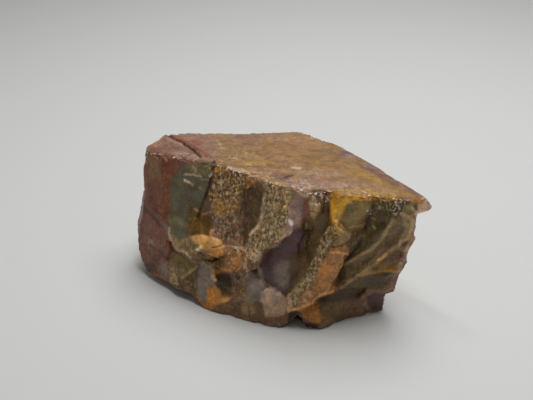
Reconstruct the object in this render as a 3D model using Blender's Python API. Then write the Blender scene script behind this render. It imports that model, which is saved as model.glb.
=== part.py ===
"""Rough petrified wood: one broken block of silicified wood, lying on its broken base.

The block is the common solid of six broken sides. Each side is a thick slab whose outer
surface starts as a few flat fracture planes and is then broken up by patches, steps, ridges
and chips. All places below are in hundredths of LENGTH. +X runs along the block, its best
face looks along -Y, and +Z is up.
"""

import math

import bmesh
import bpy
import numpy as np
from mathutils import Matrix, Vector, noise

LENGTH = 0.100
UNIT = LENGTH / 100
SLAB_BACK = -75

UP, DOWN = "up", "down"
FRONT, BACK, LEFT_END, RIGHT_BACK = 270, 90, 180, 31

# Fracture planes of each side: a point on the plane, the azimuth of its outward normal in
# degrees from +X, and the lean of that normal above the horizontal.
PLANES = {
    "front": [
        ((-20, -10.5, 50), 237, 14),
        ((-46, 7.5, 47), 226, 10.5),
        ((14, -31.2, 48), 268, 3),
        ((-12, -28.6, 0), 246, 4),
        ((40, -32, 50), 292, -9.5),
    ],
    "top": [
        ((0, 0, 50.6), 0, 90),
        ((30, -10, 49.6), 5, 83),
        ((-31, 7, 51.2), 216, 74),
        ((48.6, -26, 47), 10, 27),
        ((42.6, -19.5, 48.8), 31, 45),
    ],
    "back": [
        ((0, 20.5, 50), 92, 12),
        ((0, 27.5, 20), 92, -30),
        ((-47, 17.5, 12), 150, -36),
    ],
    "left": [
        ((-48.2, 8, 40), 190, 7.5),
        ((-52.5, -3, 4), 205, -50),
        ((-40, 18.9, 49), 137, 8),
    ],
    "right": [
        ((47, -18.3, 45), 31, -10.5),
        ((18, 14.5, 50), 58, 2),
    ],
    "base": [
        ((0, 0, 0), 0, -90),
        ((36, 0, 8), 35, -38),
    ],
}

# Patches of the front: an outline as (x, z), how deep the patch lies, how wide its edge is,
# and how much deeper it gets per step of x and of z.
PATCHES = [
    (
        "smooth left scar",
        [(-39, 48), (-25, 49), (-24, 40), (-27, 31), (-31, 26), (-37, 29)],
        1.3, 6, (0, 0),
    ),
    ("dark olive pane", [(-30, 36), (-24, 38), (-20, 33), (-20, 27), (-30, 28)], 1.2, 3, (0, -0.05)),
    (
        "ochre patch",
        [(-20.5, 51), (-23, 41), (-22, 34), (-17, 32), (-13, 34), (-11, 42), (-10, 51)],
        0.3, 1.2, (0, 0.07),
    ),
    ("brown recess", [(-11, 49), (-4, 49), (-4, 38), (-7, 31), (-11, 27), (-11, 36)], 2.4, 4, (0.1, 0)),
    ("brown bay", [(-20, 32), (-12, 31), (-10, 28), (-12, 25), (-19, 26)], 1.4, 3.5, (0, 0)),
    (
        "shell",
        [(-39, 26), (-29, 27), (-17, 26), (-17, 21), (-23, 17), (-27, 15.5), (-32, 16), (-36, 18)],
        -1.6, 1.5, (0, 0),
    ),
    (
        "orange shelf",
        [(-29, 25), (-24, 26.5), (-18, 25), (-17, 21.5), (-22, 20), (-29, 22)],
        -1.6, 2.5, (0, 0),
    ),
    (
        "under the shell",
        [(-38, 18), (-32, 16), (-26, 15), (-25, 11), (-29, 5), (-37, 4)],
        2.6, 1.8, (-0.05, 0.32),
    ),
    ("under the shelf", [(-26, 20), (-17, 21), (-17, 18.5), (-21, 16.5), (-26, 16)], 2.4, 1.6, (0, 0.3)),
    ("beige lump", [(-17, 25), (-10, 25.5), (-9, 19), (-12, 16), (-18, 17)], -1.4, 3, (0, 0)),
    (
        "second lip",
        [(-25, 16.5), (-18, 17.5), (-13, 18.5), (-10, 17), (-15, 15), (-21, 14.5)],
        -1.0, 1.4, (0, 0),
    ),
    ("dark hollow", [(-20, 15), (-12, 16), (-10.5, 12), (-14, 7), (-20, 8)], 2.4, 1.8, (0, 0.35)),
    ("grey pane", [(-10.5, 16), (-5, 17.5), (-4, 10), (-10, 10)], 1.8, 2, (0, 0.1)),
    ("orange pane", [(-23, 9), (-14, 8), (-14, 3), (-21, 3)], 1.0, 2, (0, 0.1)),
    ("low brown pane", [(-14, 8), (-5, 9), (-4, 1), (-17, 1)], 1.4, 3, (0, 0.1)),
    (
        "sugary slab",
        [(-4, 53), (-5, 38), (-8, 31), (-10, 25.5), (-10.5, 17), (-6, 22.5),
         (-3, 28.5), (1, 32), (6, 37.5), (5, 44), (4, 53)],
        -1.3, 1.1, (0, 0.06),
    ),
    ("mauve lens", [(5, 51), (10.5, 50), (10, 38), (5.5, 37)], 1.2, 2.5, (0, 0)),
    (
        "dark stripe",
        [(10, 42), (15, 43), (15, 52), (18, 52), (17.5, 41), (14, 31), (11, 24), (9, 24)],
        2.2, 1.6, (0, 0),
    ),
    (
        "purple scar",
        [(5.5, 37), (12, 38), (11.5, 27), (9, 20), (3, 13), (-8, 17), (-4, 24.5), (1, 31)],
        2.8, 1.6, (-0.12, 0.05),
    ),
    (
        "flake",
        [(19, 33), (24, 32), (24, 28), (22, 23), (20, 18), (19, 14),
         (15, 12), (11, 9), (6, 6.5), (7, 12), (14, 24)],
        -0.9, 1, (0, 0),
    ),
    ("small flake", [(19, 40), (22, 39), (25, 36), (24, 33.5), (19, 33)], -0.6, 1, (0, 0)),
    ("khaki pane", [(20, 48), (29, 47.5), (29, 37), (25, 36), (21, 39)], 1.4, 2, (0, 0.05)),
    (
        "dark olive channel",
        [(25, 37), (29, 41), (35, 41), (31, 31), (24, 24), (21, 13), (20, 18), (24, 28)],
        2.8, 2.2, (-0.12, 0),
    ),
    ("under the rim", [(29, 48), (40, 47.5), (38, 42), (29, 41)], 1.6, 2, (0, 0.15)),
    ("middle pane", [(36, 40), (43, 36), (38, 30), (26, 19), (24, 25), (31, 31)], 1.6, 2.5, (0, 0)),
    ("triangle recess", [(36, 28), (42, 26), (42, 19), (28, 19.5)], 2.0, 1.8, (0, 0.25)),
    ("tip steps", [(44.5, 42), (48, 41.5), (48, 33), (45, 27), (41, 30), (43, 36)], 1.8, 1.6, (0, 0.1)),
    ("shadow bay", [(14, 13), (30, 14), (29, 6), (20, 5), (11, 7)], 1.8, 1.8, (0, 0.3)),
    ("eye", [(31, 8.5), (36, 9.5), (40, 8), (40, 0), (33, 0.5), (31, 4)], 2.2, 1.8, (0, 0.1)),
    ("beige pane", [(-4, 12), (4, 12), (4, 3), (-4, 3)], 0.9, 2, (0.1, 0)),
    ("low red corner", [(-50, 15), (-38, 13), (-37, 2), (-50, 2)], 0.8, 5, (0, -0.08)),
]

RIDGES = [
    ("sugar column", [(20, 45), (18, 38), (15, 32), (13, 26), (10, 19), (6, 10)], 1.8, 2.6),
    ("crack shoulder", [(-20.5, 51), (-22.5, 41), (-25, 34)], 0.7, 2.0),
    ("upper hackle", [(39, 42), (35, 36), (32, 32), (27, 27.5), (22, 24)], 1.0, 2.2),
    ("lower hackle", [(38, 29), (33, 25), (30, 21.5), (26, 19), (22, 15)], 1.0, 2.0),
    ("low curl", [(27, 19.5), (31, 21), (36, 19.5), (42, 17)], 1.4, 2.0),
    ("low spur", [(27, 13), (31, 11.5), (36, 11.5), (41, 12.5)], 0.9, 2.2),
    ("pale spur", [(-25, 15), (-28, 12), (-32, 9)], 1.6, 2.2),
    ("foot spur", [(-22.5, 14), (-22, 8), (-23, 2)], 1.0, 2.6),
]

LUMPS = [
    ("drop chip", (12.7, 45.5), (2.8, 1.8), 80, 1.2),
    ("pink knob", (9, 49), (2.2, 1.4), 0, 0.9),
    ("column knob", (19.5, 38.5), (2.6, 2.2), 0, 1.1),
    ("orange foot", (12.5, 4.5), (3.4, 4.2), 80, 1.1),
    ("sugary foot", (4.5, 11), (3.6, 3.2), 30, 0.9),
    ("toe", (17, 1), (3.4, 4), 0, 1.6),
    ("foot notch", (7.5, 1), (4.6, 2.8), 70, -4.5),
    ("foot bay", (25, 3), (5, 4), 60, -1.2),
    ("shelf pit", (-13.7, 24.6), (1.4, 0.9), 20, -0.9),
]

# Where the front is chipped rather than smooth: a place and how far this reaches.
ROUGH = [
    ((-20, 12), 9),
    ((-2, 6), 9),
    ((12, 18), 10),
    ((-20, 22), 7),
    ((-4, 45), 8),
    ((22, 34), 5),
    ((44, 40), 7),
    ((-44, 10), 8),
    ((32, 5), 8),
]

# Grooves of the top, as lines of (x, y) and a depth.
TOP_STEPS = [
    ([(-38, 14), (-31, 4), (-22.5, -7)], 1.2),
    ([(-20, 14), (-6, 11), (14, 12)], 0.7),
    ([(-22, 1), (-4, -3), (18, -6), (40, -9)], 0.6),
    ([(0, -16), (14, -14), (30, -15)], 0.9),
    ([(16, 4), (26, -1), (38, -8)], 0.8),
]

# Where deep parts run in under the proud ones: a place, how far this reaches, and the
# direction the proud parts lean, per step of depth.
UNDERCUTS = [
    ((-31, 15), 9, (0, -0.55)),
    ((-16, 15), 6, (0, -0.45)),
    ((-1, 28), 10, (0.35, -0.35)),
    ((22, 22), 10, (0.45, -0.2)),
    ((30, 49), 8, (0, -0.3)),
]


# Notches in the front edge of the right side: a place along it, radii and a depth.
RIGHT_NOTCHES = [
    ((-46, 38.5), (7, 4.5), 1.7),
    ((-45, 24), (6, 4), 1.0),
]


def direction(azimuth, lean):
    """Unit vector at an azimuth from +X and a lean above the horizontal, both in degrees."""
    a, e = math.radians(azimuth), math.radians(lean)
    return np.array([math.cos(e) * math.cos(a), math.cos(e) * math.sin(a), math.sin(e)])


def side_axes(facing):
    """Axes along a side, u then v, and the way it faces, with u x v pointing out."""
    if facing == UP:
        u, v = np.array([1.0, 0, 0]), np.array([0, 1.0, 0])
    elif facing == DOWN:
        u, v = np.array([1.0, 0, 0]), np.array([0, -1.0, 0])
    else:
        u, v = direction(facing + 90, 0), np.array([0, 0, 1.0])
    return u, v, np.cross(u, v)


def plane_height(planes, axes, u, v):
    """How far out the innermost of the fracture planes lies over each place (u, v)."""
    across, along, out = axes
    heights = []
    for point, azimuth, lean in planes:
        n = direction(azimuth, lean)
        level = n @ np.array(point, float)
        heights.append((level - u * (n @ across) - v * (n @ along)) / (n @ out))
    return np.min(heights, axis=0)


def ripple(u, v, scale, seed):
    """Smooth noise from -1 to 1 over the places (u, v), with lumps about scale across."""
    return np.array([noise.noise(Vector((a / scale, b / scale, seed))) for a, b in zip(u, v)])


def chips(u, v, size, tilt, seed):
    """Flat chips about size across, each with its own small step and tilt."""
    random = np.random.default_rng(seed)
    low, high = (u.min(), v.min()), (u.max(), v.max())
    centres = []
    for a in np.arange(low[0], high[0] + size, size):
        for b in np.arange(low[1], high[1] + size, size):
            centres.append((a, b))
    centres = np.array(centres) + random.uniform(-0.45, 0.45, (len(centres), 2)) * size
    tilts = random.uniform(-tilt, tilt, (len(centres), 2))
    steps = random.uniform(0, tilt, len(centres)) * size / 2
    away = (u[:, None] - centres[:, 0]) ** 2 + (v[:, None] - centres[:, 1]) ** 2
    near = np.argmin(away, axis=1)
    du, dv = u - centres[near, 0], v - centres[near, 1]
    return tilts[near, 0] * du + tilts[near, 1] * dv + steps[near]


def eased(x):
    """0 to 1 with a soft start and end, for x from 0 to 1."""
    x = np.clip(x, 0, 1)
    return x * x * (3 - 2 * x)


def line_gap(u, v, line, closed=False):
    """Distance from a line of points, and the share of its length at the nearest point."""
    ends = np.array(line + line[:1] if closed else line, float)
    steps = np.diff(ends, axis=0)
    lengths = np.hypot(steps[:, 0], steps[:, 1])
    starts = np.concatenate([[0], np.cumsum(lengths)])
    best, share = np.full(u.shape, np.inf), np.zeros(u.shape)
    for (a, b), (da, db), length, start in zip(ends, steps, lengths, starts):
        t = np.clip(((u - a) * da + (v - b) * db) / length**2, 0, 1)
        gap = np.hypot(u - a - t * da, v - b - t * db)
        share = np.where(gap < best, (start + t * length) / starts[-1], share)
        best = np.minimum(best, gap)
    return best, share


def inside(u, v, outline):
    """Where the places (u, v) lie inside an outline."""
    odd = np.zeros(u.shape, bool)
    for (a, b), (c, d) in zip(outline, outline[1:] + outline[:1]):
        if b != d:
            spans = (v < b) != (v < d)
            odd ^= spans & (u < a + (v - b) / (d - b) * (c - a))
    return odd


def patch(u, v, outline, deep, edge, slope):
    """Depth of a patch with eased edges, zero outside its outline."""
    gap, _ = line_gap(u, v, outline, closed=True)
    signed = np.where(inside(u, v, outline), gap, -gap)
    middle = np.mean(outline, axis=0)
    floor = deep + slope[0] * (u - middle[0]) + slope[1] * (v - middle[1])
    return floor * eased(signed / edge + 0.5)


def ridge(u, v, line, height, width):
    """Height of a ridge along a line of points."""
    gap, share = line_gap(u, v, line)
    ends = eased(share / 0.12) * eased((1 - share) / 0.12)
    return height * ends * np.clip(1 - gap / width, 0, 1)


def oval(u, v, at, radii, turn, height):
    """Height of a round lump, negative outside its oval outline."""
    c, s = math.cos(math.radians(turn)), math.sin(math.radians(turn))
    du, dv = u - at[0], v - at[1]
    along, across = (du * c + dv * s) / radii[0], (dv * c - du * s) / radii[1]
    return height * (1 - along**2 - across**2)


def wander(u, v, seed):
    """Places shifted a little, so that outlines wander as they do in broken stone."""
    du = 2.2 * ripple(u, v, 6.5, seed) + 0.8 * ripple(u, v, 2.4, seed + 1)
    dv = 2.2 * ripple(u, v, 6.5, seed + 2) + 0.8 * ripple(u, v, 2.4, seed + 3)
    return u + du, v + dv


def front_relief(u, v):
    """Depth cut from the front's planes."""
    rough = np.full(u.shape, 0.3)
    for at, reach in ROUGH:
        rough = np.maximum(rough, np.exp(-((u - at[0]) ** 2 + (v - at[1]) ** 2) / reach**2))
    u, v = wander(u, v, 3.0)
    depth = 0.9 + 0.7 * ripple(u, v, 9.0, 1.0) + rough * chips(u, v, 4.5, 0.16, 1)
    for _, outline, deep, edge, slope in PATCHES:
        depth = depth + patch(u, v, outline, deep, edge, slope)
    for _, line, height, width in RIDGES:
        depth = depth - ridge(u, v, line, height, width)
    for _, at, radii, turn, height in LUMPS:
        depth = depth - np.sign(height) * np.maximum(0, oval(u, v, at, radii, turn, abs(height)))
    return depth


def lean_over(u, v, depth):
    """Places after the proud parts lean out over the deep ones."""
    du, dv = np.zeros(u.shape), np.zeros(u.shape)
    for at, reach, (ku, kv) in UNDERCUTS:
        near = np.exp(-((u - at[0]) ** 2 + (v - at[1]) ** 2) / reach**2)
        du, dv = du - near * ku * depth, dv - near * kv * depth
    return u + du, v + dv


def top_relief(u, v):
    """Depth of the split along the grain, with long shallow steps that run to the right tip."""
    turned = v + 0.12 * u + 1.5 * ripple(u, v, 15.0, 8.0)
    grain = ripple(u / 6, turned, 2.6, 6.0)
    depth = 0.7 + 0.35 * grain + 0.9 * ripple(u, v, 16.0, 2.0)
    for line, drop in TOP_STEPS:
        gap, share = line_gap(u, turned, line)
        fade = eased(share / 0.3) * eased((1 - share) / 0.3)
        depth = depth + drop * fade * np.clip(1 - gap / 2.2, 0, 1)
    return depth


def random_scars(u, v, count, deepest, seed):
    """Depth of shallow shell-shaped scars scattered over a side."""
    random = np.random.default_rng(seed)
    depth = np.zeros(u.shape)
    for _ in range(count):
        at = random.uniform(-50, 50), random.uniform(0, 52)
        radii = random.uniform(7, 16), random.uniform(5, 9)
        deep = random.uniform(0.4, 1) * deepest
        depth = np.maximum(depth, oval(u, v, at, radii, random.uniform(0, 180), deep))
    return depth


def plain_relief(deepest, seed, starts=-90, stops=99, notches=()):
    """Relief of a side with scars all over, that fade in from where the side starts and fade
    out below where it stops, and with notches at its edge."""

    def relief(u, v):
        u, v = u + ripple(u, v, 5.0, seed), v + ripple(u, v, 5.0, seed + 5)
        scars = random_scars(u, v, 30, deepest, seed)
        scars = scars * eased((u - starts) / 16) * eased((stops - v) / 9)
        for at, radii, deep in notches:
            scars = np.maximum(scars, oval(u, v, at, radii, 0, deep))
        return 0.5 + scars + 0.4 * ripple(u, v, 11.0, seed) + chips(u, v, 6.0, 0.14, seed)

    return relief


def base_relief(u, v):
    """Depth of the hollows between the flat places the block lies on, and of its raised end."""
    hollows = np.maximum(0, 4.5 * ripple(u, v, 16.0, 12.0) - 0.5)
    raised = 3.6 + 0.06 * np.minimum(0, u + 30) + 0.5 * ripple(u, v, 5.0, 13.0)
    return np.maximum(hollows, raised * eased((-25.8 - u) / 2.4))


def slab(name, facing, pitch, relief, reach, triangles=None):
    """A thick slab whose outer side is the broken side called name. Its relief is kept to a
    number of triangles, or else only its level places are made one face each."""
    axes = side_axes(facing)
    across = np.arange(reach[0], reach[1] + pitch, pitch)
    along = np.arange(reach[2], reach[3] + pitch, pitch)
    u, v = (grid.ravel() for grid in np.meshgrid(across, along, indexing="ij"))
    depth = relief(u, v)
    height = plane_height(PLANES[name], axes, u, v) - depth
    if facing == FRONT:
        u, v = lean_over(u, v, depth)
    outer = (np.outer(u, axes[0]) + np.outer(v, axes[1]) + np.outer(height, axes[2])) * UNIT
    rows, columns = len(across), len(along)
    mesh = bmesh.new()
    points = [mesh.verts.new(p) for p in outer]
    for i in range(rows - 1):
        for j in range(columns - 1):
            corner = i * columns + j
            mesh.faces.new([points[corner + k] for k in (0, columns, columns + 1, 1)])
    rim = [edge for edge in mesh.edges if edge.is_boundary]
    made = bmesh.ops.extrude_edge_only(mesh, edges=rim)
    out = Vector(axes[2])
    for vert in made["geom"]:
        if isinstance(vert, bmesh.types.BMVert):
            vert.co += out * (SLAB_BACK * UNIT - vert.co.dot(out))
    bmesh.ops.holes_fill(mesh, edges=[edge for edge in mesh.edges if edge.is_boundary], sides=0)
    bmesh.ops.recalc_face_normals(mesh, faces=mesh.faces[:])
    data = bpy.data.meshes.new(name)
    mesh.to_mesh(data)
    mesh.free()
    obj = bpy.data.objects.new(name, data)
    bpy.context.scene.collection.objects.link(obj)
    fewer = obj.modifiers.new("fewer faces", "DECIMATE")
    if triangles:
        fewer.ratio = triangles / (2 * (rows - 1) * (columns - 1))
    else:
        fewer.decimate_type = "DISSOLVE"
        fewer.angle_limit = math.radians(0.2)
    return obj


def stone_material():
    made = bpy.data.materials.new("brown chalcedony")
    made.use_nodes = True
    surface = made.node_tree.nodes["Principled BSDF"]
    surface.inputs["Base Color"].default_value = (0.14, 0.085, 0.04, 1)
    surface.inputs["Roughness"].default_value = 0.45
    surface.inputs["Metallic"].default_value = 0.0
    return made


def main():
    for obj in list(bpy.data.objects):
        bpy.data.objects.remove(obj)
    back_relief = plain_relief(3, 21, stops=49)
    left_relief = plain_relief(1.6, 33)
    right_relief = plain_relief(3.2, 47, starts=-46, notches=RIGHT_NOTCHES)
    stone = slab("front", FRONT, 0.75, front_relief, (-55.3, 54.1, -3.4, 55.2), 6600)
    others = [
        slab("top", UP, 1.2, top_relief, (-58.4, 57.2, -38.3, 33.1), 2000),
        slab("back", BACK, 2.0, back_relief, (-60.7, 59.3, -5.6, 57.8), 1100),
        slab("left", LEFT_END, 1.4, left_relief, (-41.2, 37.4, -7.7, 60.3), 900),
        slab("right", RIGHT_BACK, 1.6, right_relief, (-65.9, 63.6, -9.8, 62.9), 1100),
        slab("base", DOWN, 3.1, base_relief, (-63.2, 61.8, -43.7, 46.9)),
    ]
    for other in others:
        other.hide_render = True
        other.display_type = "WIRE"
        cut = stone.modifiers.new("meets " + other.name, "BOOLEAN")
        cut.operation = "INTERSECT"
        cut.object = other
    stone.name = "petrified_wood"
    stone.data.materials.append(stone_material())
    graph = bpy.context.evaluated_depsgraph_get()
    corners = np.array([vert.co[:] for vert in stone.evaluated_get(graph).to_mesh().vertices])
    low, high = corners.min(axis=0), corners.max(axis=0)
    shift = Vector((-(low[0] + high[0]) / 2, -(low[1] + high[1]) / 2, -low[2]))
    for obj in [stone] + others:
        obj.data.transform(Matrix.Translation(shift))


main()
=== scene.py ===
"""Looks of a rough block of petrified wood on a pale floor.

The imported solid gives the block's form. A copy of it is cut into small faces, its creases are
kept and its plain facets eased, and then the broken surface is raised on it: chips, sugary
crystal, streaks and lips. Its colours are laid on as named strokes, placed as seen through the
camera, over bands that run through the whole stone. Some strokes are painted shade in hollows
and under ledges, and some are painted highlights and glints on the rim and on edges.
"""

import math

import bpy
import numpy as np
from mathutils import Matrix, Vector, kdtree, noise


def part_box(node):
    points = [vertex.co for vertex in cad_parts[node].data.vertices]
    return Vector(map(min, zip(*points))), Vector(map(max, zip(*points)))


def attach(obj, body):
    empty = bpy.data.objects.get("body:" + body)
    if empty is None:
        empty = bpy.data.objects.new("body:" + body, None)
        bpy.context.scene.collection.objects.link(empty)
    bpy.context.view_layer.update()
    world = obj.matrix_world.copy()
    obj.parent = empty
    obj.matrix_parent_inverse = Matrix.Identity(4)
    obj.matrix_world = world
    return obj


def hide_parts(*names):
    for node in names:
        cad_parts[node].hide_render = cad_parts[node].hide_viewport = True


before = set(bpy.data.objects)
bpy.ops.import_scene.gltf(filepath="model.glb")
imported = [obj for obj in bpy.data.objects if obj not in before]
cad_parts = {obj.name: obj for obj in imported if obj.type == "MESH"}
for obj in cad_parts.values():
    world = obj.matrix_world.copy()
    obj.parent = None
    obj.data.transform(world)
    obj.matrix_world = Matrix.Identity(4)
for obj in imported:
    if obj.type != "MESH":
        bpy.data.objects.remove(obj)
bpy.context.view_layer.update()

MM = 0.001
WIDTH, HEIGHT = 533, 400
LENS, SENSOR = 52.0, 36.0
TILT_DOWN = math.radians(28)
DISTANCE = 275.0
AIM = np.array([-1.808, 4.253, 32.0])
AHEAD = np.array([0, math.cos(TILT_DOWN), -math.sin(TILT_DOWN)])
UPWARD = np.array([0, math.sin(TILT_DOWN), math.cos(TILT_DOWN)])
EYE = AIM - DISTANCE * AHEAD

# Sizes on the block in mm, and the angle in degrees from which an edge is a crease.
TOP_SPACING, FRONT_SPACING, HIDDEN_SPACING = 0.78, 0.68, 1.6
CREASE_ANGLE = 40
RIM_REACH = 1.6
BACK_EDGE = 24  # how far back, in +Y, the camera still sees the front's sides


def eased(x):
    """0 to 1 with a soft start and end."""
    x = np.clip(x, 0, 1)
    return x * x * (3 - 2 * x)


def seen_at(points):
    """Where the camera sees each point, in the picture's own steps from its top left."""
    away = points - EYE
    depth = away @ AHEAD
    scale = WIDTH * LENS / SENSOR / depth
    return np.stack([WIDTH / 2 + scale * away[:, 0], HEIGHT / 2 - scale * (away @ UPWARD)], 1)


def ripple(points, scale, seed, stretch=(1, 1, 1)):
    """Smooth noise, about -1 to 1, with lumps about scale across in mm."""
    places = points / (np.array(stretch) * scale) + seed * np.array([7.31, 3.17, 5.73])
    return np.array([noise.noise(Vector(p)) for p in places])


def nearest(places, points):
    """For each point the nearest place, its index and how far it is."""
    tree = kdtree.KDTree(len(places))
    for i, place in enumerate(places):
        tree.insert(place, i)
    tree.balance()
    return [tree.find(p) for p in points]


def chips(points, size, seed, stretch=(1, 1, 1)):
    """Flat chips about size across in mm: a height for each point, about -1 to 1."""
    scaled = points / (np.array(stretch) * size)
    cells = np.unique(np.floor(scaled).astype(int), axis=0)
    around = [(a, b, c) for a in (-1, 0, 1) for b in (-1, 0, 1) for c in (-1, 0, 1)]
    cells = np.unique((cells[:, None] + np.array(around)).reshape(-1, 3), axis=0)
    key = (cells * np.array([73856093, 19349663, 83492791])).sum(1) + seed * 2654435
    rolls = [np.abs(np.sin(key * (k + 1) * 0.618 + k * 1.7) * 43758.5453) % 1 for k in range(6)]
    mixed = np.stack(rolls, 1)
    centres = cells + mixed[:, :3]
    near = np.array([found[1] for found in nearest(centres, scaled)])
    tilt = mixed[near, 3:] * 2 - 1
    return ((scaled - centres[near]) * tilt).sum(1) * 1.2 + tilt[:, 0] * 0.3


# Mesh


BIG = 1 << 24  # more than the number of points, so that a pair of them makes one whole number


def welded(obj):
    """Points in mm and triangles of a node, with doubled points made one."""
    mesh = obj.data
    mesh.calc_loop_triangles()
    points = np.empty(len(mesh.vertices) * 3)
    mesh.vertices.foreach_get("co", points)
    points = points.reshape(-1, 3) / MM
    faces = np.empty(len(mesh.loop_triangles) * 3, int)
    mesh.loop_triangles.foreach_get("vertices", faces)
    _, first, index = np.unique(np.round(points, 4), axis=0, return_index=True, return_inverse=True)
    faces = index.reshape(-1)[faces].reshape(-1, 3)
    whole = (faces[:, 0] != faces[:, 1]) & (faces[:, 1] != faces[:, 2]) & (faces[:, 0] != faces[:, 2])
    return points[first], faces[whole]


def edges_of(faces):
    """The edges of the faces as sorted pairs, and for each face the edges 01, 12 and 20."""
    sides = np.concatenate([faces[:, [0, 1]], faces[:, [1, 2]], faces[:, [2, 0]]])
    keys, index = np.unique(sides.min(axis=1) * BIG + sides.max(axis=1), return_inverse=True)
    return np.stack([keys // BIG, keys % BIG], 1), index.reshape(3, -1).T


def face_normals(points, faces):
    a, b, c = (points[faces[:, k]] for k in range(3))
    n = np.cross(b - a, c - a)
    return n / np.maximum(np.linalg.norm(n, axis=1, keepdims=True), 1e-12)


def point_normals(points, faces):
    a, b, c = (points[faces[:, k]] for k in range(3))
    n = np.cross(b - a, c - a)
    total = np.zeros(points.shape)
    for k in range(3):
        np.add.at(total, faces[:, k], n)
    return total / np.maximum(np.linalg.norm(total, axis=1, keepdims=True), 1e-12)


def crease_edges(points, faces, angle):
    """The edges, and whether the faces beside each meet at more than an angle in degrees."""
    edges, sides = edges_of(faces)
    normals = face_normals(points, faces)
    total = np.zeros((len(edges), 3))
    for k in range(3):
        np.add.at(total, sides[:, k], normals)
    # Two unit normals that meet at an angle add up to 2 cos(angle / 2).
    return edges, np.linalg.norm(total, axis=1) < 2 * math.cos(math.radians(angle) / 2)


def refined(points, faces, marked, longest):
    """Faces cut until no edge is longer than longest says at its middle. marked is the set of
    crease edges as a sorted array of keys, and parts of a crease stay creases."""
    while True:
        edges, sides = edges_of(faces)
        ends = points[edges]
        middle = ends.mean(axis=1)
        cut = np.linalg.norm(ends[:, 0] - ends[:, 1], axis=1) > longest(middle)
        if not cut.any():
            return points, faces, marked
        new = np.full(len(edges), -1)
        new[cut] = len(points) + np.arange(cut.sum())
        crease = np.isin(edges[:, 0] * BIG + edges[:, 1], marked) & cut
        halves = [np.sort(np.stack([edges[crease, k], new[crease]], 1), axis=1) for k in (0, 1)]
        marked = np.union1d(marked, np.concatenate([h[:, 0] * BIG + h[:, 1] for h in halves]))
        points = np.concatenate([points, middle[cut]])
        mids = new[sides]
        count = (mids >= 0).sum(axis=1)
        made = [faces[count == 0]]
        for k in range(3):
            # One cut edge, 01 after the turn.
            turn = [k, (k + 1) % 3, (k + 2) % 3]
            one = (count == 1) & (mids[:, k] >= 0)
            a, b, c = faces[one][:, turn].T
            m = mids[one, k]
            made += [np.stack([a, m, c], 1), np.stack([m, b, c], 1)]
            # Two cut edges, all but 01.
            two = (count == 2) & (mids[:, k] < 0)
            a, b, c = faces[two][:, turn].T
            p, q = mids[two, turn[1]], mids[two, turn[2]]
            made.append(np.stack([p, c, q], 1))
            first, second = points[a] - points[p], points[b] - points[q]
            short = np.linalg.norm(first, axis=1) < np.linalg.norm(second, axis=1)
            made += [np.stack([a, b, p], 1)[short], np.stack([a, p, q], 1)[short]]
            made += [np.stack([a, b, q], 1)[~short], np.stack([b, p, q], 1)[~short]]
        full = count == 3
        a, b, c = faces[full].T
        p, q, r = mids[full].T
        made += [np.stack(t, 1) for t in ((a, p, r), (p, b, q), (r, q, c), (p, q, r))]
        faces = np.concatenate(made)


def relaxed(points, faces, marked, rounds, share):
    """Points moved towards their neighbours, but on a crease mostly along it."""
    edges, _ = edges_of(faces)
    crease = np.isin(edges[:, 0] * BIG + edges[:, 1], marked)
    count = np.bincount(edges[crease].ravel(), minlength=len(points))
    sharp = count >= 2
    a = np.concatenate([edges[:, 0], edges[:, 1]])
    b = np.concatenate([edges[:, 1], edges[:, 0]])
    weight = np.where(sharp[a], np.maximum(np.concatenate([crease, crease]), 0.15), 1.0)
    total = np.bincount(a, weights=weight, minlength=len(points))
    for _ in range(rounds):
        sums = [np.bincount(a, weights=weight * points[b, k], minlength=len(points)) for k in range(3)]
        mean = np.stack(sums, 1) / total[:, None]
        pull = np.where(sharp, share * 0.5, share)[:, None]
        points = points + pull * (mean - points)
    return points


def spacing(places):
    """The longest edge allowed at each place: short where the camera sees best."""
    front = (places[:, 1] < -6 + 0.25 * np.abs(places[:, 0])) & (places[:, 2] > 1.5)
    top = places[:, 2] > 46.5
    return np.where(top, TOP_SPACING, np.where(front, FRONT_SPACING, HIDDEN_SPACING))


# Strokes


def line_gap(at, line, closed):
    """Distance from a line of points."""
    ends = np.array(line + line[:1] if closed else line, float)
    best = np.full(len(at), np.inf)
    for start, stop in zip(ends[:-1], ends[1:]):
        along = stop - start
        t = np.clip(((at - start) @ along) / (along @ along), 0, 1)
        best = np.minimum(best, np.linalg.norm(at - start - t[:, None] * along, axis=1))
    return best


def inside(at, outline):
    odd = np.zeros(len(at), bool)
    for (a, b), (c, d) in zip(outline, outline[1:] + outline[:1]):
        if b != d:
            spans = (at[:, 1] < b) != (at[:, 1] < d)
            odd ^= spans & (at[:, 0] < a + (at[:, 1] - b) / (d - b) * (c - a))
    return odd


def area(at, outline, soft):
    """1 inside an outline and 0 outside, with an edge soft wide."""
    gap = line_gap(at, outline, True)
    return eased(np.where(inside(at, outline), gap, -gap) / soft + 0.5)


def stroke(at, line, width):
    """1 along a line and 0 beyond width from it."""
    return eased(1.35 * (1 - line_gap(at, line, False) / width))


# The light on the front and the top as a share of full white, and what their sheen adds.
FRONT_LIGHT, TOP_LIGHT = 0.345, 1.0
FRONT_SHEEN, TOP_SHEEN = 0.01, 0.03
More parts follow.
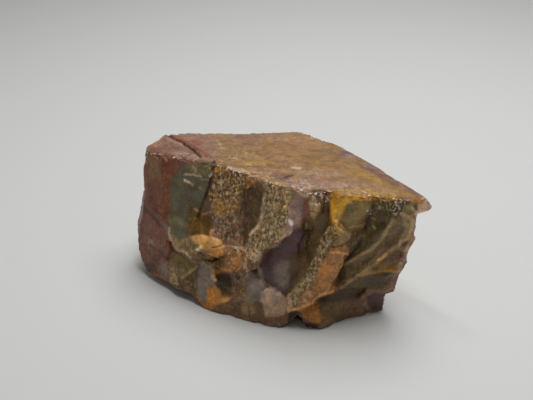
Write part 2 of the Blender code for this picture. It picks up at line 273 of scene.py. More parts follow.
# Colours of the stone as the camera sees them. Those of the top are in full light.
TOP_TAN, TOP_SAND, TOP_OLIVE = (150, 115, 80), (155, 120, 90), (140, 110, 75)
TOP_ORANGE, TOP_YELLOW, TOP_PALE = (145, 110, 70), (160, 125, 70), (160, 130, 115)
TOP_MAUVE, TOP_ROSE, TOP_WINE = (150, 115, 100), (130, 100, 85), (120, 95, 85)
TOP_RED, TOP_GREY, TOP_PINK = (140, 90, 75), (140, 115, 95), (155, 120, 105)
BLACK_BROWN, UMBER, PURPLE = (40, 30, 25), (55, 45, 35), (65, 50, 50)
WINE_DARK, WINE, RED_BROWN, RUST = (60, 40, 35), (80, 55, 45), (90, 55, 40), (105, 65, 40)
BROWN_DARK, BROWN, BROWN_PALE = (65, 50, 35), (80, 60, 45), (100, 75, 55)
OLIVE_DARK, OLIVE, OLIVE_PALE, OLIVE_BROWN = (60, 50, 30), (75, 60, 40), (95, 80, 50), (75, 55, 25)
# The last colour below is for painted glints on grey stone.
GREEN_GREY, GREY, GREY_PALE, GLINT_GREY = (75, 70, 55), (95, 85, 75), (115, 100, 90), (150, 140, 130)
MAUVE, PINK, PINK_PALE = (105, 85, 80), (125, 100, 80), (150, 120, 100)
TAN, SAND, SAND_PALE = (110, 90, 60), (130, 105, 75), (150, 125, 95)
# The second colour below is for painted glints and highlights.
CREAM, GLINT_WHITE = (170, 145, 120), (190, 170, 145)
OCHRE_DARK, OCHRE, OCHRE_BRIGHT, YELLOW = (95, 70, 40), (120, 90, 45), (165, 115, 30), (140, 95, 25)
CARAMEL, ORANGE_DARK, ORANGE, ORANGE_PALE = (115, 80, 50), (110, 70, 35), (135, 90, 45), (165, 120, 70)
# The colour beneath all strokes.
PLAIN = BROWN
# Each stroke: outline or line as the camera sees it, how soft or wide it is, its colour as the
# camera sees it, how strong it is, and how sugary the stone is there. AREAS are filled and laid
# one over the other, then LINES are drawn.
AREAS = {
    # The top
    "whole top": ([(141, 156), (141, 148), (165, 134), (190, 128), (330, 131), (356, 146), (444, 204),
        (428, 203), (372, 199), (330, 191), (300, 190), (262, 183), (236, 170), (214, 164), (170, 158)],
        3, TOP_TAN, 1.0, 0.1),
    "mauve corner": ([(140, 130), (214, 128), (222, 142), (214, 160), (196, 162), (140, 156)],
        10, TOP_MAUVE, 0.9, 0.1),
    "grey mauve patch": ([(184, 134), (212, 134), (214, 143), (196, 142)], 6, TOP_MAUVE, 0.8, 0.1),
    # Worn stone on the rim, with painted highlights on it.
    "worn rim with painted highlights": ([(166, 150), (184, 151), (202, 158), (198, 161), (180, 157)],
        4, TOP_PALE, 0.7, 0.5),
    "rose edge band": ([(150, 150), (166, 143), (186, 147), (196, 155), (176, 152)],
        5, TOP_ROSE, 0.7, 0.1),
    "red spot": ([(190, 140), (198, 139), (206, 143), (200, 146), (193, 144)],
        3, TOP_RED, 0.8, 0.0),
    "grey spot": ([(204, 141), (214, 139), (219, 146), (214, 150), (206, 148)],
        4, TOP_GREY, 0.85, 0.0),
    "brown back strip": ([(206, 131), (236, 131), (246, 137), (226, 141), (212, 137)],
        6, TOP_TAN, 0.7, 0.1),
    "dark back strip": ([(234, 135), (260, 134), (262, 143), (240, 146)], 7, TOP_ROSE, 0.8, 0.1),
    "tan back edge": ([(262, 132), (326, 138), (326, 146), (262, 142)], 7, TOP_SAND, 0.8, 0.1),
    "tan middle": ([(266, 141), (318, 145), (316, 160), (268, 158)], 10, TOP_TAN, 0.8, 0.0),
    "olive left of middle": ([(214, 148), (244, 146), (262, 156), (244, 163), (216, 162)],
        7, TOP_OLIVE, 0.8, 0.3),
    "olive tan front": ([(240, 163), (300, 163), (356, 174), (356, 184), (300, 176), (250, 172)],
        6, TOP_TAN, 0.8, 0.2),
    "orange tan right": ([(300, 152), (352, 157), (352, 170), (306, 164)], 7, TOP_ORANGE, 0.8, 0.0),
    "orange corner": ([(326, 141), (346, 145), (344, 152), (330, 150)], 4, TOP_ORANGE, 0.8, 0.1),
    "olive streak": ([(312, 150), (336, 152), (338, 157), (314, 155)], 4, TOP_OLIVE, 0.8, 0.0),
    "dark edge spot": ([(338, 150), (348, 150), (352, 155), (340, 158)], 3, TOP_WINE, 0.9, 0.0),
    "pale edge spot": ([(346, 154), (358, 156), (358, 160), (346, 159)], 3, TOP_PALE, 0.8, 0.0),
    "yellow edge spot": ([(356, 156), (366, 158), (370, 166), (362, 170), (354, 166)],
        4, TOP_ORANGE, 0.8, 0.0),
    "grey edge spot": ([(362, 163), (372, 162), (380, 170), (370, 171)], 3, TOP_MAUVE, 0.8, 0.0),
    "wine edge spot": ([(363, 168), (374, 168), (390, 176), (384, 180), (372, 174)],
        3, TOP_WINE, 0.9, 0.0),
    "mauve right edge": ([(376, 168), (390, 175), (422, 195), (418, 198), (392, 184), (378, 176)],
        3, TOP_ROSE, 0.85, 0.0),
    "yellow right band": ([(346, 164), (362, 170), (392, 185), (412, 194), (402, 195), (372, 183),
        (348, 174)], 4, TOP_YELLOW, 0.9, 0.0),
    "brown right patch": ([(330, 164), (350, 166), (352, 180), (334, 178)],
        7, TOP_TAN, 0.7, 0.0),
    "grey tan right": ([(352, 178), (376, 182), (402, 193), (384, 193), (356, 186)],
        4, TOP_SAND, 0.8, 0.0),
    "mauve rim patch": ([(300, 176), (318, 176), (334, 183), (336, 189), (316, 189), (302, 184)],
        4, TOP_PINK, 0.85, 0.2),
    # Painted glint on the rim.
    "glint patch on the rim": ([(334, 182), (358, 184), (360, 188), (336, 188)], 3, TOP_PALE, 0.8, 0.3),
    "pale rim left": ([(252, 171), (272, 174), (274, 181), (256, 178)], 4, TOP_SAND, 0.8, 0.6),
    "wine rim patch": ([(271, 174), (291, 174), (292, 180), (276, 181)], 3, TOP_WINE, 0.85, 0.2),
    "grey rim patch": ([(284, 180), (296, 180), (300, 190), (290, 188)], 4, TOP_PALE, 0.8, 0.5),
    "pink rim knob": ([(297, 177), (306, 180), (312, 190), (300, 191), (296, 184)],
        4, TOP_PALE, 0.8, 0.5),
    "ochre top rim": ([(336, 187), (376, 188), (376, 196), (336, 196)], 3, TOP_YELLOW, 0.8, 0.5),
    "yellow top rim": ([(370, 189), (396, 194), (392, 198), (372, 197)], 3, TOP_YELLOW, 0.8, 0.3),
    # The front, from left to right and then downwards
    "left face": ([(140, 150), (186, 158), (184, 172), (172, 182), (170, 196), (171, 215), (166, 226),
        (170, 243), (172, 260), (168, 285), (130, 285), (130, 160)], 8, RED_BROWN, 1.0, 0.1),
    "left face below the rim": ([(148, 154), (162, 156), (160, 180), (146, 182)],
        8, BROWN_PALE, 0.8, 0.1),
    "red corner": ([(162, 158), (184, 161), (182, 170), (170, 176)], 7, RED_BROWN, 0.8, 0.1),
    "left face orange brown": ([(150, 178), (166, 180), (164, 196), (148, 196)],
        8, RED_BROWN, 0.8, 0.1),
    "left face red brown": ([(158, 194), (168, 200), (164, 216), (156, 210)],
        6, RED_BROWN, 0.8, 0.1),
    "high pit": ([(149, 196), (153, 196), (153, 202), (149, 203)], 4, WINE_DARK, 0.8, 0.1),
    "low pit": ([(153, 207), (158, 208), (158, 214), (153, 213)], 4, WINE_DARK, 0.8, 0.1),
    "left face pale brown": ([(144, 232), (166, 230), (166, 250), (140, 252)],
        9, RED_BROWN, 0.8, 0.2),
    "pale fleck": ([(148, 240), (153, 240), (152, 244), (148, 244)], 3, GREY_PALE, 0.7, 0.4),
    "wine spot": ([(152, 254), (163, 254), (160, 262), (152, 262)], 4, WINE_DARK, 0.8, 0.1),
    "wine foot": ([(142, 264), (158, 262), (156, 273), (144, 274)], 5, WINE_DARK, 0.9, 0.1),
    "ochre foot": ([(154, 273), (168, 276), (166, 281), (156, 279)], 3, RUST, 0.8, 0.2),
    "grey foot": ([(160, 262), (170, 262), (170, 278), (160, 274)], 6, GREY, 0.8, 0.2),
    "grey green part": ([(184, 161), (214, 162), (211, 178), (206, 194), (199, 216), (190, 222),
        (188, 236), (178, 249), (170, 238), (167, 224), (171, 205), (170, 190), (173, 178)],
        8, GREEN_GREY, 1.0, 0.05),
    "green grey middle": ([(172, 174), (188, 174), (188, 196), (176, 198), (171, 190)],
        8, GREEN_GREY, 0.8, 0.0),
    "tan below the rim": ([(186, 162), (213, 163), (210, 176), (188, 172)], 6, OLIVE_PALE, 0.8, 0.4),
    "grey low part": ([(170, 214), (183, 216), (184, 232), (176, 240), (169, 230)],
        7, GREEN_GREY, 0.8, 0.0),
    "olive low part": ([(188, 198), (204, 204), (200, 222), (188, 222)], 7, OLIVE_BROWN, 0.8, 0.1),
    "olive by the crack": ([(190, 220), (206, 210), (212, 216), (210, 234), (192, 235), (187, 228)],
        6, OLIVE_BROWN, 0.9, 0.1),
    "ochre patch": ([(214, 163), (222, 165), (236, 170), (250, 176), (257, 183), (250, 190),
        (243, 192), (240, 200), (238, 208), (232, 214), (218, 219), (213, 215), (211, 205), (208, 197),
        (209, 188), (212, 176)], 2.5, OCHRE_DARK, 1.0, 0.9),
    "yellow rim": ([(214, 163), (223, 165), (226, 171), (218, 172), (214, 170)],
        4, YELLOW, 0.9, 0.2),
    "orange low ochre": ([(212, 200), (226, 198), (234, 206), (230, 214), (218, 218), (213, 213)],
        5, OCHRE, 0.85, 0.7),
    "orange right ochre": ([(240, 174), (257, 178), (256, 187), (245, 188)],
        4, ORANGE, 0.85, 0.5),
    "brown sugar": ([(212, 216), (232, 214), (240, 208), (242, 236), (228, 242), (213, 234)],
        5, BROWN_PALE, 0.9, 0.9),
    # A recess of brown stone, darkened with painted shade.
    "brown recess": ([(243, 190), (256, 186), (263, 194), (259, 214), (257, 226), (250, 236),
        (246, 249), (240, 240), (239, 216), (241, 198)], 4, BROWN_DARK, 1.0, 0.15),
    "olive in the recess": ([(250, 204), (260, 204), (257, 222), (250, 226)],
        4, OLIVE, 0.8, 0.1),
    "brown beside the recess": ([(236, 212), (243, 212), (242, 232), (236, 230)],
        4, BROWN_PALE, 0.8, 0.4),
    "orange over the recess": ([(258, 182), (270, 184), (269, 194), (260, 192)],
        4, ORANGE_DARK, 0.85, 0.4),
    "sugary slab": ([(264, 184), (278, 184), (291, 190), (296, 196), (291, 212), (287, 225),
        (291, 232), (283, 238), (276, 246), (268, 250), (264, 263), (255, 263), (246, 258), (242, 249),
        (247, 243), (252, 234), (258, 222), (263, 205)], 3, TAN, 1.0, 1.0),
    "tan slab top": ([(278, 185), (292, 190), (292, 204), (280, 200)], 5, TAN, 0.7, 0.8),
    "pale slab foot": ([(242, 247), (258, 249), (264, 258), (256, 263), (246, 257)],
        4, SAND_PALE, 0.8, 1.0),
    "mauve lens": ([(296, 192), (309, 197), (310, 207), (304, 216), (300, 226), (290, 232), (286, 228),
        (289, 214), (290, 204)], 4, MAUVE, 1.0, 0.0),
    "grey lens core": ([(290, 212), (299, 208), (298, 222), (289, 226)], 5, GREY_PALE, 0.85, 0.0),
    "wine side of the lens": ([(303, 198), (310, 198), (309, 212), (302, 216)],
        4, RED_BROWN, 0.85, 0.0),
    "pink knob foot": ([(295, 190), (311, 190), (310, 197), (302, 197)], 2, PINK_PALE, 0.9, 0.2),
    "dark orange spot": ([(308, 194), (313, 193), (312, 202), (309, 200)], 2, RUST, 0.8, 0.1),
    "dark stripe": ([(313, 190), (331, 191), (331, 205), (327, 222), (322, 236), (316, 252),
        (311, 264), (300, 274), (288, 276), (296, 250), (302, 234), (310, 224), (318, 212)],
        4, OLIVE, 1.0, 0.1),
    "brown stripe top": ([(315, 191), (331, 191), (331, 204), (322, 208), (316, 198)],
        3, BROWN, 0.9, 0.5),
    "black olive stripe": ([(323, 206), (331, 206), (327, 222), (320, 234), (316, 250), (310, 262),
        (308, 254), (316, 232)], 4, OLIVE, 0.85, 0.0),
    "olive mottle": ([(302, 226), (314, 224), (313, 240), (304, 250), (298, 244)],
        5, OLIVE_DARK, 0.8, 0.3),
    "ochre drop": ([(313, 195), (319, 202), (321, 208), (317, 214), (314, 219), (310, 213), (309, 204)],
        2, SAND, 1.0, 0.5),
    "yellow drop foot": ([(311, 213), (316, 213), (315, 219), (312, 218)], 2, OCHRE, 0.8, 0.1),
    "purple scar": ([(291, 232), (301, 229), (305, 236), (302, 252), (296, 268), (291, 284),
        (286, 297), (278, 294), (270, 286), (262, 277), (257, 268), (262, 262), (267, 251), (276, 247),
        (284, 238)], 4, PURPLE, 1.0, 0.0),
    "slate upper scar": ([(286, 238), (300, 231), (302, 242), (290, 248)], 5, PURPLE, 0.8, 0.0),
    "wine left scar": ([(260, 256), (274, 250), (276, 264), (264, 272), (257, 268)],
        6, PURPLE, 0.8, 0.0),
    "pale glow": ([(276, 262), (292, 262), (294, 282), (284, 290), (274, 282)],
        9, GREY, 0.85, 0.0),
    "olive brown scar": ([(290, 254), (304, 250), (300, 270), (292, 286), (288, 270)],
        6, BROWN_DARK, 0.85, 0.0),
    "grey facet": ([(247, 270), (256, 262), (262, 270), (265, 286), (262, 293), (258, 301), (247, 303),
        (242, 297), (245, 284)], 3, GREY, 1.0, 0.0),
    # Painted highlight on the grey facet.
    "highlight on the grey facet": ([(251, 278), (262, 280), (260, 290), (250, 288)], 5, GREY_PALE, 0.8, 0.0),
    "brown facet top": ([(247, 264), (258, 262), (258, 272), (247, 274)], 3, BROWN, 0.85, 0.3),
    "pink facet": ([(261, 292), (270, 287), (279, 292), (286, 297), (288, 306), (284, 315), (276, 319),
        (266, 321), (264, 312), (259, 303)], 3, PINK, 1.0, 0.05),
    "pale pink corner": ([(261, 294), (269, 292), (268, 302), (261, 304)], 3, PINK_PALE, 0.8, 0.1),
    # Painted grey highlight on the pink facet.
    "grey highlight on the pink facet": ([(271, 290), (279, 293), (279, 303), (272, 302)], 4, GREY_PALE, 0.8, 0.0),
    "brown foot": ([(238, 302), (262, 302), (266, 322), (238, 320), (222, 314), (232, 304)],
        3, BROWN, 1.0, 0.1),
    "tan foot": ([(241, 302), (254, 302), (255, 312), (248, 317), (241, 312)],
        3, TAN, 0.8, 0.1),
    "middle foot": ([(262, 318), (290, 314), (290, 330), (262, 330)], 4, BROWN, 1.0, 0.2),
    "sugar column": ([(332, 214), (341, 216), (338, 228), (331, 242), (325, 256), (319, 270),
        (312, 284), (304, 296), (294, 308), (287, 306), (288, 296), (298, 284), (306, 274), (312, 262),
        (318, 248), (324, 232)], 3, OLIVE_PALE, 1.0, 1.0),
    "ochre rim band": ([(330, 190), (346, 193), (372, 197), (372, 201), (355, 201), (346, 206),
        (342, 216), (337, 224), (331, 222), (330, 206)], 3, OCHRE_BRIGHT, 1.0, 0.25),
    "yellow rim band": ([(370, 195), (400, 197), (426, 199), (426, 204), (400, 201), (372, 201)],
        2.5, YELLOW, 1.0, 0.2),
    "khaki pane": ([(346, 205), (364, 200), (373, 203), (369, 216), (366, 226), (354, 232), (347, 228),
        (342, 220)], 3, OLIVE_PALE, 1.0, 0.1),
    "knob": ([(328, 226), (334, 222), (342, 224), (346, 231), (338, 238), (330, 240), (326, 234)],
        2.5, OCHRE, 1.0, 0.9),
    "knob shade": ([(328, 232), (334, 232), (333, 238), (328, 238)], 3, BROWN_DARK, 0.7, 0.5),
    "small flake": ([(332, 245), (345, 231), (353, 233), (348, 241), (340, 248)],
        2, TAN, 1.0, 0.2),
    "brown flake": ([(330, 248), (346, 244), (350, 252), (346, 262), (341, 270), (337, 280),
        (334, 291), (322, 295), (316, 303), (306, 309), (294, 311), (300, 298), (311, 285), (318, 272),
        (325, 258)], 2, CARAMEL, 1.0, 0.25),
    "flake orange": ([(322, 262), (332, 266), (330, 286), (318, 288)], 6, ORANGE, 0.7, 0.2),
    "flake foot": ([(304, 286), (320, 288), (314, 302), (300, 306)], 6, CARAMEL, 0.8, 0.7),
    "dark olive channel": ([(366, 216), (372, 204), (386, 206), (396, 210), (391, 222), (384, 235),
        (375, 246), (362, 254), (350, 260), (344, 264), (349, 252), (357, 242), (362, 231)],
        3, OLIVE_DARK, 1.0, 0.1),
    "mottled olive": ([(372, 200), (412, 200), (404, 212), (394, 214), (376, 210)],
        4, OLIVE_DARK, 0.9, 0.5),
    "khaki by the channel": ([(348, 232), (360, 230), (360, 242), (350, 248)],
        4, OLIVE, 0.8, 0.2),
    "olive pane": ([(393, 214), (408, 212), (412, 226), (404, 240), (394, 248), (384, 256), (370, 266),
        (352, 280), (338, 288), (342, 266), (352, 260), (366, 254), (380, 241), (387, 230)],
        3, OLIVE, 1.0, 0.1),
    "dark lower pane": ([(340, 264), (352, 262), (362, 268), (352, 280), (336, 284)],
        6, OLIVE_DARK, 0.85, 0.1),
    "brown second pane": ([(386, 254), (398, 247), (409, 244), (404, 266), (388, 266), (374, 270)],
        4, BROWN, 1.0, 0.1),
    "ochre second edge": ([(368, 268), (386, 262), (404, 264), (402, 272), (364, 274)],
        3, OCHRE_DARK, 0.9, 0.1),
    "third pane": ([(350, 282), (362, 275), (400, 272), (396, 290), (360, 294), (332, 294)],
        4, OLIVE_DARK, 1.0, 0.1),
    "dark third pane": ([(362, 277), (388, 275), (386, 284), (362, 286)], 5, UMBER, 0.8, 0.0),
    "wine third end": ([(386, 276), (400, 274), (396, 288), (386, 286)], 4, WINE_DARK, 0.9, 0.1),
    "notch pane": ([(402, 216), (414, 219), (410, 233), (400, 244), (396, 240), (404, 228)],
        4, OLIVE_PALE, 0.9, 0.1),
    "khaki under the rim": ([(405, 206), (417, 202), (420, 212), (412, 218), (404, 214)],
        4, OLIVE_PALE, 0.9, 0.2),
    "pink tip": ([(419, 199), (431, 201), (432, 212), (420, 219), (415, 214)],
        3, PINK_PALE, 1.0, 0.3),
    "orange tip": ([(416, 197), (425, 198), (422, 204), (417, 204)], 2.5, ORANGE, 0.9, 0.1),
    "dark tip": ([(413, 205), (418, 204), (418, 211), (413, 212)], 3, UMBER, 0.85, 0.0),
    "pink rind": ([(413, 222), (421, 219), (418, 240), (408, 256), (400, 272), (396, 268), (404, 252),
        (411, 236)], 3, PINK, 0.9, 0.4),
    "wine rind foot": ([(396, 272), (402, 270), (396, 288), (388, 300), (386, 292)],
        3, RED_BROWN, 0.9, 0.2),
    "lower right": ([(318, 296), (334, 292), (362, 291), (392, 290), (392, 316), (330, 332), (318, 326)],
        3, BROWN_DARK, 1.0, 0.05),
    # Painted shadow under the ledge.
    "shadow under the ledge": ([(318, 296), (334, 293), (362, 292), (360, 299), (322, 303)],
        4, UMBER, 0.9, 0.0),
    "tan lower right": ([(344, 300), (364, 299), (366, 316), (344, 320)], 6, BROWN, 0.85, 0.1),
    "olive lower right": ([(336, 300), (346, 302), (340, 326), (330, 326)], 5, OLIVE, 0.8, 0.1),
    "olive foot": ([(320, 306), (330, 306), (334, 330), (320, 330)], 5, OLIVE, 0.85, 0.1),
    "wine corner edge": ([(362, 294), (370, 289), (392, 289), (390, 313), (372, 315), (364, 308)],
        3, BROWN, 0.9, 0.1),
    "wine corner": ([(367, 297), (372, 293), (386, 292), (389, 300), (386, 310), (374, 311), (367, 306)],
        3, PURPLE, 1.0, 0.0),
    "orange foot": ([(300, 310), (312, 306), (319, 304), (321, 323), (310, 322), (302, 316)],
        2.5, ORANGE_DARK, 1.0, 0.15),
    # Painted shadow in the notch at the foot.
    "shadow in the notch at the foot": ([(288, 312), (296, 309), (301, 314), (304, 322), (318, 324), (318, 330), (288, 330)],
        2.5, BLACK_BROWN, 1.0, 0.0),
    "olive under the shell": ([(171, 251), (180, 255), (190, 258), (198, 263), (195, 271), (186, 277),
        (178, 283), (171, 279), (170, 262)], 3, OLIVE_PALE, 1.0, 0.1),
    "brown under the shell": ([(178, 278), (188, 273), (199, 268), (203, 290), (198, 297), (184, 293),
        (174, 288)], 4, OLIVE, 1.0, 0.2),
    "pale sugar edge": ([(170, 268), (177, 268), (178, 284), (170, 284)], 4, TAN, 0.8, 0.7),
    "rose facet": ([(200, 261), (208, 265), (215, 272), (214, 286), (208, 296), (206, 306), (199, 300),
        (197, 290), (199, 274)], 3, GREY, 1.0, 0.1),
    "brown ledge": ([(203, 258), (224, 258), (234, 264), (232, 271), (214, 271)],
        3, OCHRE_DARK, 1.0, 0.3),
    "orange facet": ([(208, 288), (216, 286), (234, 296), (224, 304), (213, 310), (205, 306)],
        3, ORANGE, 1.0, 0.1),
    # Painted shade in the hollow under the ledge.
    "dark hollow": ([(216, 275), (231, 273), (233, 286), (226, 290), (217, 288)],
        3, UMBER, 1.0, 0.0),
    "brown hollow foot": ([(218, 287), (230, 288), (232, 296), (222, 296)], 4, BROWN_DARK, 0.9, 0.1),
    "sandy strip": ([(231, 272), (246, 272), (246, 300), (234, 302), (232, 286)],
        4, BROWN_PALE, 1.0, 0.4),
    "dark nick": ([(233, 272), (240, 273), (241, 280), (235, 279)], 2.5, UMBER, 0.9, 0.1),
    "rose foot": ([(212, 306), (232, 300), (240, 318), (220, 316)], 4, BROWN, 1.0, 0.1),
    "shell": ([(168, 238), (176, 250), (184, 252), (191, 257), (204, 260), (212, 260), (223, 256),
        (225, 247), (221, 240), (210, 236), (190, 236), (180, 240), (172, 234)],
        3, TAN, 1.0, 0.3),
    "khaki shell": ([(180, 240), (194, 238), (196, 250), (184, 250)], 5, OLIVE_PALE, 0.8, 0.3),
    "shell crest": ([(190, 237), (200, 235), (211, 236), (221, 241), (225, 247), (214, 250),
        (204, 248), (196, 243)], 2.5, ORANGE_PALE, 0.95, 0.3),
    "golden crest spot": ([(200, 243), (207, 243), (207, 249), (201, 249)],
        2.5, OCHRE_BRIGHT, 0.85, 0.1),
    "orange crest end": ([(207, 250), (224, 249), (223, 256), (210, 258)], 3, ORANGE, 0.9, 0.2),
    "grey crest foot": ([(202, 250), (209, 251), (207, 258), (201, 258)], 3, BROWN_PALE, 0.8, 0.1),
    "lump": ([(225, 244), (234, 247), (244, 249), (248, 258), (246, 269), (236, 272), (228, 265),
        (224, 255)], 3, CARAMEL, 1.0, 0.6),
    "brown over the lump": ([(228, 236), (242, 236), (244, 246), (230, 247)],
        4, BROWN_PALE, 0.9, 0.5),
    "orange lump": ([(230, 258), (240, 258), (240, 268), (231, 266)], 4, ORANGE, 0.8, 0.4),
}
